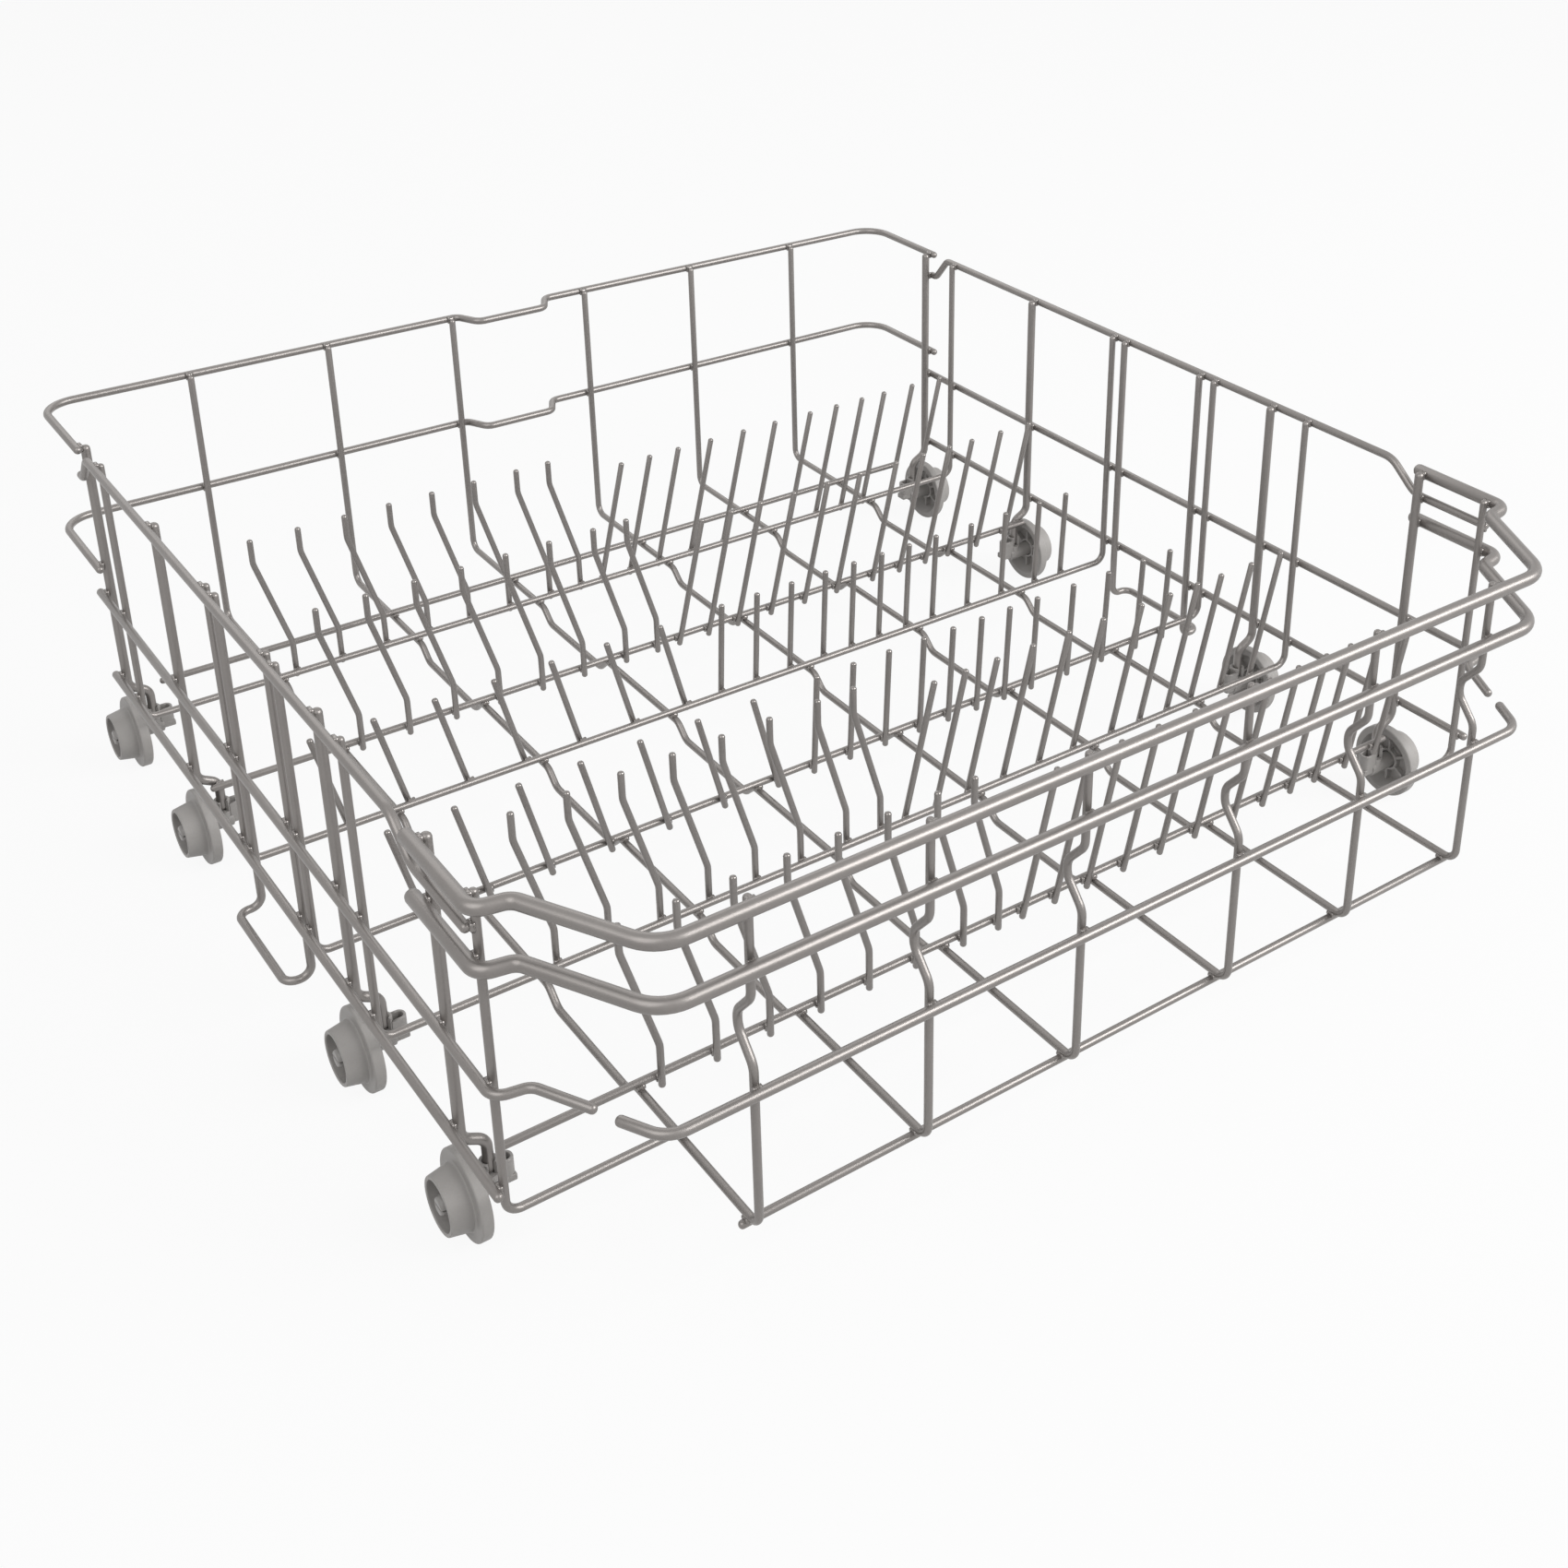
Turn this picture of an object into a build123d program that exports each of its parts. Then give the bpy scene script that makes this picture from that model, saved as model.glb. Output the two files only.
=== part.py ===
from build123d import *
from math import ceil, cos, radians, sin, tan
import os

os.makedirs("parts", exist_ok=True)

# Wire diameters over the coating, and the hair gap where two wires lie together
wire_d = 3.4
tine_d = 3.0
hanger_d = 4.4
loop_d = 3.7
rail_d = 3.9
sill_d = 4.2
bar_d = 6.0
seat = 0.02

# Flats on a frame wire, on the wires that repeat most, round a wheel and round its hub and axle,
# and the most degrees that one short straight length of a bend takes up
wire_sides = 8
fine_sides = 6
wheel_sides = 16
axle_sides = 10
bend_step = 46.0

# Planes that part the standing wires, inside, from the rails, outside
wall_x = 251.7
back_face = 276.5
front_face = -274.4

# Heights above the ground, and how far the upper rails lie below the posts' tops
floor_z = 39.2
post_top = 178.4
top_rail_drop = 1.2
top_rail_step = 13.0
mid_rail_z = 98.5
low_rail_z = 51.7
back_top_drop = 0.8
back_mid_z = 114.0
upper_bar_drop = 2.0
bar_gap = 24.9
sill_z = 98.5

# Cross wires of the floor, from back to front: the bent ones rise as side posts
stay_y = 221.2
bent_y = [189.1, 41.4, -38.9, -105.2, -217.8]
front_stay_ahead = 6.7
sill_wire_y = -265.0
cross_bend = 6.0
stay_half = 233.0
mid_stay_half = 245.0
front_stay_half = 238.0

# Long wires, from the back wall over the floor to the front wall
long_x = [-180.0, -106.5, -35.0, 47.0, 118.0, 189.2]
long_bend = 6.0
dip = 7.2
dip_ramp = 8.0
dip_clear = 3.0
joggle_z = 107.5
joggle_in = 9.5
joggle_rise = 11.0
joggle_flat = 7.0
sill_over = 4.0

# Wheel hangers and the guide loops between them
hanger_y = [215.5, 111.5, -81.2, -179.7]
hanger_bend_z = 44.0
hanger_foot_x = 240.0
hanger_foot_z = 36.0
hanger_end_z = 24.0
hanger_bend = 5.5
loop_y = [31.3, -28.2]
loop_z = 21.5
loop_out = 11.3
loop_bend = 5.0

# Side rails
top_rail_back = 216.0
top_rail_front = -219.2
back_joggle_y = 209.8
back_joggle_run = 11.0
front_step_y = -159.0
front_step_run = 16.0
mid_rail_back = 220.5
mid_rail_front = -225.2
mid_rail_tail = 23.3
low_rail_back = 220.0
low_rail_front = -223.0

# Back rails
back_corner = 16.0
back_top_end = 210.8
back_mid_end = 209.8
notch_x = -3.5
notch_w = 40.0
notch_run = 7.0
notch_depth = 13.7

# Front bars: a jog off the side wall, a slanting corner, then the straight front
bar_end_y = -172.6
jog_y = -225.9
jog_in = 13.2
jog_fall = 2.4
corner_x = 215.5
bar_bend = 6.0
corner_bend = 12.0
sill_tail = 9.5
sill_tail_run = 18.0

# Tines: the foot of each stands a little below the wire it leans on
tine_foot = 4.0
bent_start = -172.0
bent_gaps = [24.5, 24.5, 24.0, 23.7, 23.7, 24.6, 18.8]
bent_knee_z = 55.6
bent_neck_z = 105.0
bent_top_z = 118.5
bent_lean = 14.2
slant_start = 4.8
slant_gaps = [18.0, 18.4, 21.4, 22.0, 21.6, 24.7, 18.8, 18.5, 16.3, 21.1, 21.0]
slant_top_z = 106.0
slant_lean = 17.4
short_start = -202.6
short_gap = 29.6
short_gaps = [short_gap] * 6
short_top_z = 88.0
short_lean = 13.0
upright_start = -5.1
upright_gap = 20.9
upright_close = 17.9
upright_wide = 24.0
upright_last = 19.2
upright_gaps = [upright_gap] * 3 + [upright_close] * 4 + [upright_wide] * 3 + [upright_last]
upright_top_z = 88.8
upright_lean = 2.6

# Wheel: a flange, a tapering tread hollowed from outside, a bowl inside
wheel_d = 37.0
wheel_in_x = 247.0
wheel_w = 14.0
flange_w = 5.0
tread_in_d = 27.0
tread_out_d = 23.6
rim_wall = 1.6
bowl_d = 30.0
bowl_floor_d = 22.0
bowl_depth = 6.5
web_t = 2.0
hub_d = 10.4
hub_sink = 3.0
spoke_t = 1.5
spoke_count = 4
run_fit = 0.05
end_play = 0.3

# Axle clip: a slotted socket tube for the hanger's foot, a snap axle, and a hooked lug on the inner side
socket_d = 7.6
socket_deep = 5.6
socket_fit = 0.05
slot_w = 3.0
boss_w = 8.0
axle_d = 6.0
barb_d = 8.4
barb_tip_d = 6.6
barb_len = 2.6
split_w = 1.2
split_len = 6.0
lug_w = 6.4
lug_reach = 9.5
lug_wall = 1.6
lug_low = 17.0
lug_floor = 3.0
lug_top = 27.8

# Places that follow from the sizes above
axle_z = wheel_d / 2
socket_top = hanger_end_z + socket_deep
top_rail_z = post_top - top_rail_drop
top_rail_low_z = top_rail_z - top_rail_step
back_top_z = post_top - back_top_drop
upper_bar_z = post_top - upper_bar_drop
lower_bar_z = upper_bar_z - bar_gap
front_stay_y = hanger_y[3] - front_stay_ahead
rail_x = wall_x + rail_d / 2
bar_x = wall_x + bar_d / 2
post_x = wall_x - seat - wire_d / 2
hanger_x = wall_x - seat - hanger_d / 2
loop_x = wall_x - seat - loop_d / 2
back_post_y = back_face - seat - wire_d / 2
front_post_y = front_face + seat + wire_d / 2
bar_y = front_face - bar_d / 2
sill_y = front_face - sill_d / 2
back_rail_y = back_face + rail_d / 2
long_z = floor_z - wire_d - seat
mid_stay_y = hanger_y[1] - hanger_d / 2 - wire_d / 2 - seat
row_y = [bent_y[0], mid_stay_y, bent_y[1], bent_y[2], bent_y[3], front_stay_y]
row_half = [post_x, mid_stay_half, post_x, post_x, post_x, front_stay_half]


def bent(points, bends):
    # Each corner that has a bend radius becomes a few short straight lengths along its arc
    corners = [Vector(*point) for point in points]
    line = [corners[0]]
    for before, corner, after, radius in zip(corners, corners[1:], corners[2:], bends):
        if radius == 0:
            line.append(corner)
            continue
        back = (before - corner).normalized()
        ahead = (after - corner).normalized()
        half = radians(back.get_angle(ahead) / 2)
        turn = radians(180) - 2 * half
        centre = corner + (back + ahead).normalized() * (radius / sin(half))
        start = corner + back * (radius / tan(half)) - centre
        steps = ceil(turn / radians(bend_step))
        for step in range(steps + 1):
            swing = turn * step / steps
            line.append(centre + start * cos(swing) - back * (radius * sin(swing)))
    return line + [corners[-1]]


def run_wire(points, flat, diameter, sides=wire_sides, bends=None):
    # A wire follows the points; its flats face the given way where it starts
    with BuildLine() as path:
        Polyline(*bent(points, bends or [0] * (len(points) - 2)))
    with BuildSketch(Plane(path.line @ 0, x_dir=flat, z_dir=path.line % 0)) as section:
        RegularPolygon(diameter / 2, sides, major_radius=False, rotation=180 / sides)
    sweep(sections=section.sketch, path=path.line, transition=Transition.RIGHT)


def keep(piece, name):
    piece.part.label = name
    export_step(piece.part, f"parts/{name}.step")


def spread(start, gaps, half):
    # Places along a row, from its first place and the gaps between neighbours, as far as its wire reaches
    places = [start]
    for gap in gaps:
        places.append(places[-1] + gap)
    return [place for place in places if abs(place) <= half - tine_d / 2]


# Cross wires that rise at both ends as side posts
for number, y in enumerate(bent_y, start=1):
    with BuildPart() as cross_wire:
        run_wire(
            [(-post_x, y, post_top), (-post_x, y, floor_z), (post_x, y, floor_z), (post_x, y, post_top)],
            (0, 1, 0),
            wire_d,
            bends=[cross_bend] * 2,
        )
    keep(cross_wire, f"cross_wire_{number}")

# Straight cross wires of the floor
for name, y, half in (
    ("back_stay", stay_y, stay_half),
    ("mid_stay", mid_stay_y, mid_stay_half),
    ("front_stay", front_stay_y, front_stay_half),
):
    with BuildPart() as stay:
        run_wire([(-half, y, floor_z), (half, y, floor_z)], (0, 1, 0), wire_d)
    keep(stay, name)

# The wire under the front feet of the long wires
with BuildPart() as sill_wire:
    under_z = long_z - wire_d - seat
    run_wire(
        [(long_x[0] - sill_over, sill_wire_y, under_z), (long_x[-1] + sill_over, sill_wire_y, under_z)],
        (0, 1, 0),
        wire_d,
    )
keep(sill_wire, "sill_wire")

# Long wires: back post, floor with a dip between each pair of tine rows, front post
for number, x in enumerate(long_x, start=1):
    line = [(x, back_post_y, post_top), (x, back_post_y, long_z)]
    bends = [long_bend]
    for behind, ahead in zip(row_y[0::2], row_y[1::2]):
        high_start = behind - wire_d / 2 - dip_clear
        high_end = ahead + wire_d / 2 + dip_clear / 2
        line += [
            (x, high_start, long_z),
            (x, high_start - dip_ramp, long_z - dip),
            (x, high_end + dip_ramp, long_z - dip),
            (x, high_end, long_z),
        ]
        bends += [0] * 4
    inner_y = front_post_y + joggle_in
    line += [
        (x, front_post_y, long_z),
        (x, front_post_y, joggle_z),
        (x, inner_y, joggle_z + joggle_rise),
        (x, inner_y, joggle_z + joggle_rise + joggle_flat),
        (x, front_post_y, joggle_z + 2 * joggle_rise + joggle_flat),
        (x, front_post_y, post_top),
    ]
    bends += [long_bend] + [0] * 4
    with BuildPart() as long_wire:
        run_wire(line, (0, 1, 0), wire_d, sides=fine_sides, bends=bends)
    keep(long_wire, f"long_wire_{number}")

# Back rails, round both corners, with a notch pressed in near the middle
for name, z, end_y in (
    ("back_top_rail", back_top_z, back_top_end),
    ("back_mid_rail", back_mid_z, back_mid_end),
):
    half = notch_w / 2
    notch_y = back_rail_y - notch_depth
    with BuildPart() as back_rail:
        run_wire(
            [
                (-rail_x, end_y, z),
                (-rail_x, back_rail_y, z),
                (notch_x - half - notch_run, back_rail_y, z),
                (notch_x - half, notch_y, z),
                (notch_x + half, notch_y, z),
                (notch_x + half + notch_run, back_rail_y, z),
                (rail_x, back_rail_y, z),
                (rail_x, end_y, z),
            ],
            (0, 0, 1),
            rail_d,
            bends=[back_corner, 0, 0, 0, 0, back_corner],
        )
    keep(back_rail, name)

# Front bars
for name, z in (("front_upper_bar", upper_bar_z), ("front_lower_bar", lower_bar_z)):
    corner = [
        (bar_x, bar_end_y, z),
        (bar_x, jog_y, z),
        (bar_x - jog_in, jog_y - jog_fall, z),
        (corner_x, bar_y, z),
    ]
    with BuildPart() as front_bar:
        run_wire(
            [(-x, y, h) for x, y, h in corner] + corner[::-1],
            (0, 0, 1),
            bar_d,
            bends=[bar_bend, bar_bend, corner_bend, corner_bend, bar_bend, bar_bend],
        )
    keep(front_bar, name)

# Front sill rail, bent back at both ends
with BuildPart() as front_sill:
    tail = (corner_x + sill_tail, sill_y + sill_tail_run, sill_z)
    run_wire(
        [
            (-tail[0], tail[1], sill_z),
            (-corner_x, sill_y, sill_z),
            (corner_x, sill_y, sill_z),
            tail,
        ],
        (0, 0, 1),
        sill_d,
        bends=[corner_bend] * 2,
    )
keep(front_sill, "front_sill_rail")

# Side rails
for side, hand in ((-1, "left"), (1, "right")):
    x = side * rail_x
    with BuildPart() as top_rail:
        run_wire(
            [
                (x, top_rail_back, top_rail_low_z),
                (x, back_joggle_y, top_rail_low_z),
                (x, back_joggle_y - back_joggle_run, top_rail_z),
                (x, front_step_y, top_rail_z),
                (x, front_step_y - front_step_run, top_rail_low_z),
                (x, top_rail_front, top_rail_low_z),
            ],
            (1, 0, 0),
            rail_d,
        )
    keep(top_rail, f"{hand}_top_rail")

    with BuildPart() as mid_rail:
        slope = (bar_x - jog_in - corner_x) / (jog_y - jog_fall - bar_y)
        tail_y = mid_rail_front - jog_fall - mid_rail_tail
        run_wire(
            [
                (x, mid_rail_back, mid_rail_z),
                (x, mid_rail_front, mid_rail_z),
                (x - side * jog_in, mid_rail_front - jog_fall, mid_rail_z),
                (x - side * (jog_in + slope * mid_rail_tail), tail_y, mid_rail_z),
            ],
            (0, 0, 1),
            rail_d,
            bends=[bar_bend] * 2,
        )
    keep(mid_rail, f"{hand}_mid_rail")

    with BuildPart() as low_rail:
        run_wire([(x, low_rail_back, low_rail_z), (x, low_rail_front, low_rail_z)], (1, 0, 0), rail_d)
    keep(low_rail, f"{hand}_low_rail")

    # The guide loop steps out past the posts at its foot
    x = side * loop_x
    out_x = x + side * loop_out
    back_y, front_y = loop_y
    with BuildPart() as guide_loop:
        run_wire(
            [
                (x, back_y, post_top),
                (x, back_y, loop_z),
                (out_x, back_y, loop_z),
                (out_x, front_y, loop_z),
                (x, front_y, loop_z),
                (x, front_y, post_top),
            ],
            (1, 0, 0),
            loop_d,
            sides=fine_sides,
            bends=[loop_bend] * 4,
        )
    keep(guide_loop, f"{hand}_guide_loop")

    # Wheel hangers step in under the rack to carry the axle clips
    for number, y in enumerate(hanger_y, start=1):
        with BuildPart() as hanger:
            run_wire(
                [
                    (side * hanger_x, y, post_top),
                    (side * hanger_x, y, hanger_bend_z),
                    (side * hanger_foot_x, y, hanger_foot_z),
                    (side * hanger_foot_x, y, hanger_end_z),
                ],
                (0, 1, 0),
                hanger_d,
                bends=[hanger_bend] * 2,
            )
        keep(hanger, f"{hand}_hanger_{number}")

# Tine rows: bent tines left of the tall rows, slanting ones right of them;
# short slanting tines left of the low rows, upright ones right of them
for number, (cross_y, half) in enumerate(zip(row_y, row_half), start=1):
    behind = number % 2 == 1
    gap = wire_d / 2 + tine_d / 2 + seat
    y = cross_y + gap if behind else cross_y - gap
    foot_z = floor_z - tine_foot
    low_row = number in (3, 4)
    tines = []
    if low_row:
        for x in spread(short_start, short_gaps, half):
            tines.append([(x, y, foot_z), (x - short_lean, y, short_top_z)])
        for x in spread(upright_start, upright_gaps, half):
            tines.append([(x, y, foot_z), (x + upright_lean, y, upright_top_z)])
    else:
        for x in spread(bent_start, bent_gaps, half):
            tip_x = x - bent_lean
            straight = [(x, y, foot_z), (x, y, bent_knee_z)]
            tines.append(straight + [(tip_x, y, bent_neck_z), (tip_x, y, bent_top_z)])
        for x in spread(slant_start, slant_gaps, half):
            tines.append([(x, y, foot_z), (x + slant_lean, y, slant_top_z)])
    with BuildPart() as tine_row:
        for points in tines:
            run_wire(points, (0, 1, 0), tine_d, sides=fine_sides)
    keep(tine_row, f"tine_row_{number}")

# Wheels and the clips that carry them
web_out = bowl_depth + web_t
hub_end = wheel_w - hub_sink
bore_r = axle_d / 2 + run_fit
rim_r = tread_out_d / 2 - rim_wall
boss_start = hanger_foot_x - socket_d / 2 - wheel_in_x
boss_end = bowl_depth - end_play
axle_end = hub_end + end_play


def turned(plane, near_d, far_d, length, sides=wheel_sides, mode=Mode.ADD):
    # A many-sided drum or frustum with one flat down, its ends a length apart from a plane
    rings = []
    for across, reach in ((near_d, 0), (far_d, length)):
        corner = across / 2 / cos(radians(180 / sides))
        turns = [radians(360 * (step + 0.5) / sides) for step in range(sides)]
        rings.append([plane.from_local_coords((corner * cos(t), corner * sin(t), reach)) for t in turns])
    near, far = rings
    walls = [[near[k - 1], near[k], far[k], far[k - 1]] for k in range(sides)]
    add(Solid(Shell([Face(Wire.make_polygon(edge)) for edge in walls + rings])), mode=mode)


for side, hand in ((-1, "left"), (1, "right")):
    for number, y in enumerate(hanger_y, start=1):
        centre = (side * wheel_in_x, y, axle_z)
        face_plane = Plane(centre, x_dir=(0, 1, 0), z_dir=(side, 0, 0))
        web_plane = face_plane.offset(web_out)

        with BuildPart() as wheel:
            turned(face_plane, wheel_d, wheel_d, flange_w)
            turned(face_plane.offset(flange_w), tread_in_d, tread_out_d, wheel_w - flange_w)
            turned(face_plane, bowl_d, bowl_floor_d, bowl_depth, mode=Mode.SUBTRACT)
            turned(web_plane, 2 * rim_r, 2 * rim_r, wheel_w - web_out, mode=Mode.SUBTRACT)
            turned(web_plane, hub_d, hub_d, hub_end - web_out, axle_sides)
            with BuildSketch(web_plane):
                with PolarLocations((hub_d / 2 + rim_r) / 2, spoke_count):
                    Rectangle(rim_r - hub_d / 2 + rim_wall, spoke_t)
            extrude(amount=hub_end - web_out)
            with BuildSketch(face_plane):
                Circle(bore_r)
            extrude(amount=wheel_w, mode=Mode.SUBTRACT)
        keep(wheel, f"{hand}_wheel_{number}")

        foot_x = side * hanger_foot_x
        lug_plane = Plane((foot_x, y, 0), x_dir=(-side, 0, 0), z_dir=(0, side, 0))
        with BuildPart() as clip:
            # Socket tube, boss and axle
            with BuildSketch(Plane.XY.offset(socket_top)):
                with Locations((foot_x, y)):
                    RegularPolygon(socket_d / 2, wire_sides, major_radius=False, rotation=180 / wire_sides)
            extrude(amount=axle_z - socket_top)
            turned(face_plane.offset(boss_start), boss_w, boss_w, boss_end - boss_start, wire_sides)
            with BuildSketch(face_plane.offset(boss_end)):
                RegularPolygon(axle_d / 2, axle_sides)
            extrude(amount=axle_end - boss_end)
            turned(face_plane.offset(axle_end), barb_d, barb_tip_d, barb_len, wire_sides)
            with BuildSketch(face_plane.offset(axle_end + barb_len)):
                Rectangle(barb_d, split_w)
            extrude(amount=-split_len, mode=Mode.SUBTRACT)
            # The lug turns up at its inner end
            with BuildSketch(lug_plane):
                with BuildLine():
                    Polyline(
                        (0, lug_low),
                        (lug_reach, lug_low),
                        (lug_reach, lug_top),
                        (lug_reach - lug_wall, lug_top),
                        (lug_reach - lug_wall, lug_low + lug_floor),
                        (0, lug_low + lug_floor),
                        close=True,
                    )
                make_face()
            extrude(amount=lug_w / 2, both=True)
            # The hanger's foot goes in from above, and a slot lets the socket spring open
            with BuildSketch(Plane.XY.offset(hanger_end_z - socket_fit)):
                with Locations((foot_x, y)):
                    RegularPolygon(
                        hanger_d / 2 + socket_fit, wire_sides, major_radius=False, rotation=180 / wire_sides
                    )
                with Locations((foot_x, y - socket_d / 2)):
                    Rectangle(slot_w, socket_d)
            extrude(amount=socket_deep + socket_fit, mode=Mode.SUBTRACT)
        keep(clip, f"{hand}_axle_clip_{number}")
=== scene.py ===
import bpy
import numpy as np
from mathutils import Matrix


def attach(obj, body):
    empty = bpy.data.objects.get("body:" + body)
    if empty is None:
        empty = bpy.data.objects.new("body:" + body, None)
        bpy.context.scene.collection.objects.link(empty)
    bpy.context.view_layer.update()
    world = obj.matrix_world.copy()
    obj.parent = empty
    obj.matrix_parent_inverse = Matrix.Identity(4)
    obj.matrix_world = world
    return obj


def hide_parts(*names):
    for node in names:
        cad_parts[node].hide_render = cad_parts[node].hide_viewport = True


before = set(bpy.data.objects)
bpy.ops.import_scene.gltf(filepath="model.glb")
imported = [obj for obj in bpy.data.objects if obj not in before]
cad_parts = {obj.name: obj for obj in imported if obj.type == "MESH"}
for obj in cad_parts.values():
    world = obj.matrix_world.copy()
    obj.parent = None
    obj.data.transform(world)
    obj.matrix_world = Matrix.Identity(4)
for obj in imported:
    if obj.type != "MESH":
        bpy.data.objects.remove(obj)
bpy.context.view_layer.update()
scene = bpy.context.scene
scene.view_settings.view_transform = "Standard"
mm = 0.001


class Sock:
    # one output socket of a shader tree; sums and products of it add Math nodes to the tree
    def __init__(self, tree, socket=None):
        self.tree = tree
        self.socket = socket

    def node(self, kind, settings, values, out=0):
        made = self.tree.nodes.new(kind)
        for key, setting in settings.items():
            setattr(made, key, setting)
        for key, value in values.items():
            if isinstance(value, Sock):
                self.tree.links.new(value.socket, made.inputs[key])
            else:
                made.inputs[key].default_value = value
        return Sock(self.tree, made.outputs[out] if made.outputs else None)

    def out(self, key):
        return Sock(self.tree, self.socket.node.outputs[key])

    def math(self, operation, first, second):
        return self.node("ShaderNodeMath", {"operation": operation}, {0: first, 1: second})

    def __add__(self, other):
        return self.math("ADD", self, other)

    def __radd__(self, other):
        return self.math("ADD", other, self)

    def __sub__(self, other):
        return self.math("SUBTRACT", self, other)

    def __rsub__(self, other):
        return self.math("SUBTRACT", other, self)

    def __mul__(self, other):
        return self.math("MULTIPLY", self, other)

    def __rmul__(self, other):
        return self.math("MULTIPLY", other, self)


def newFinish(name):
    material = bpy.data.materials.new(name)
    material.use_nodes = True
    material.node_tree.nodes.clear()
    return material, Sock(material.node_tree)


def noise(paint, where, scale, detail):
    return paint.node("ShaderNodeTexNoise", {}, {"Vector": where, "Scale": scale, "Detail": detail}, "Fac")


def blendColours(paint, share, low, high):
    # sockets of a colour mix: 0 takes the share, 6 and 7 the two colours, and 2 gives the result
    return paint.node("ShaderNodeMix", {"data_type": "RGBA"}, {0: share, 6: (*low, 1), 7: (*high, 1)}, 2)


grain = dict(patchDetail=3.0, speckDetail=1.0, peelDetail=2.0, middle=0.5)  # of the noises below


def mottled(name, look):
    # colour runs from deep to pale, and roughness about its mean, with the same broad patches and fine
    # specks; a third noise gives the surface a shallow peel
    material, paint = newFinish(name)
    where = paint.node("ShaderNodeTexCoord", {}, {}, "Object")
    stretched = paint.node("ShaderNodeMapping", {}, {"Vector": where, "Scale": look["stretch"]})
    patches = noise(paint, stretched, look["patch"], grain["patchDetail"])
    specks = noise(paint, where, look["speck"], grain["speckDetail"])
    peel = noise(paint, where, look["peel"], grain["peelDetail"])
    share = patches * (1 - look["speckShare"]) + specks * look["speckShare"]
    rough = look["rough"] + (share - grain["middle"]) * look["roughSpread"]
    bump = paint.node(
        "ShaderNodeBump",
        {},
        {"Height": peel, "Strength": look["peelStrength"], "Distance": look["peelDepth"]},
    )
    coat = paint.node(
        "ShaderNodeBsdfPrincipled",
        {},
        {
            "Base Color": blendColours(paint, share, look["deep"], look["pale"]),
            "Roughness": rough,
            "Normal": bump,
            "Metallic": look["metal"],
            "Specular IOR Level": look["specular"],
        },
    )
    paint.node("ShaderNodeOutputMaterial", {}, {"Surface": coat})
    return material


wireLook = dict(
    deep=(0.212, 0.198, 0.189), pale=(0.272, 0.254, 0.242), stretch=(1, 1, 1), patch=48.0,
    speck=900.0, speckShare=0.30, rough=0.36, roughSpread=0.04, peel=420.0, peelStrength=0.02,
    peelDepth=0.0002, metal=0.70, specular=0.30,
)
weldLook = {**wireLook, "rough": 0.15, "roughSpread": 0.02}  # the coat pools smooth at a weld
coatedWire = mottled("coatedWire", wireLook)
weldCoat = mottled("weldCoat", weldLook)
wheelPlastic = mottled(
    "wheelPlastic",
    dict(
        deep=(0.282, 0.269, 0.258), pale=(0.346, 0.331, 0.318), stretch=(3, 1, 1), patch=70.0,
        speck=1400.0, speckShare=0.45, rough=0.50, roughSpread=0.18, peel=1800.0, peelStrength=0.25,
        peelDepth=0.0001, metal=0.0, specular=0.45,
    ),
)
clipPlastic = mottled(
    "clipPlastic",
    dict(
        deep=(0.274, 0.261, 0.250), pale=(0.336, 0.321, 0.308), stretch=(1, 1, 3), patch=90.0,
        speck=1400.0, speckShare=0.40, rough=0.44, roughSpread=0.18, peel=1500.0, peelStrength=0.25,
        peelDepth=0.0001, metal=0.0, specular=0.50,
    ),
)
print("finishes: coated wire, weld coat, wheel plastic, clip plastic")


def unit(v):
    # each vector over its own length
    return v / np.linalg.norm(v, axis=-1, keepdims=True)


def bentRoute(points, radii, closed=False, arcStep=9):
    # straight runs joined by arcs: at a corner the arc starts r / tan(half) before it and swings about
    # the centre that lies r / sin(half) along the bisector, where half is half the angle of the corner
    pts = np.asarray(points, float)
    loop = np.concatenate([pts[-1:], pts, pts[:1]]) if closed else pts
    radii = np.broadcast_to(np.asarray(radii, float), len(loop) - 2)
    line = [] if closed else [pts[:1]]
    for a, b, c, r in zip(loop[:-2], loop[1:-1], loop[2:], radii):
        back, ahead = unit(a - b), unit(c - b)
        half = 0.5 * np.arccos(np.clip(back @ ahead, -1, 1))
        turn = np.pi - 2 * half
        centre = b + unit(back + ahead) * r / np.sin(half)
        out = (b + back * r / np.tan(half) - centre) / r
        count = max(3, int(np.degrees(turn) / arcStep) + 2)  # points on the arc
        swing = np.linspace(0, turn, count)[:, None]
        line.append(centre + r * (np.cos(swing) * out - np.sin(swing) * back))
    return np.concatenate(line + ([] if closed else [pts[-1:]]))


def ringQuads(rings, sides, closed=False):
    # each cell of the grid of rings and sides is a quad; the sides always close on themselves
    i = np.arange(rings if closed else rings - 1)[:, None]
    j = np.arange(sides)[None, :]
    after = (j + 1) % sides
    here, there = i * sides, (i + 1) % rings * sides
    return np.stack([here + j, here + after, there + after, there + j], -1).reshape(-1, 4)


def ladderQuads(sides):
    # a flat ring of points closed by rungs from one half of it to the other
    i = np.arange(sides // 2 - 1)
    return np.stack([i, i + 1, sides - 2 - i, sides - 1 - i], -1)


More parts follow.
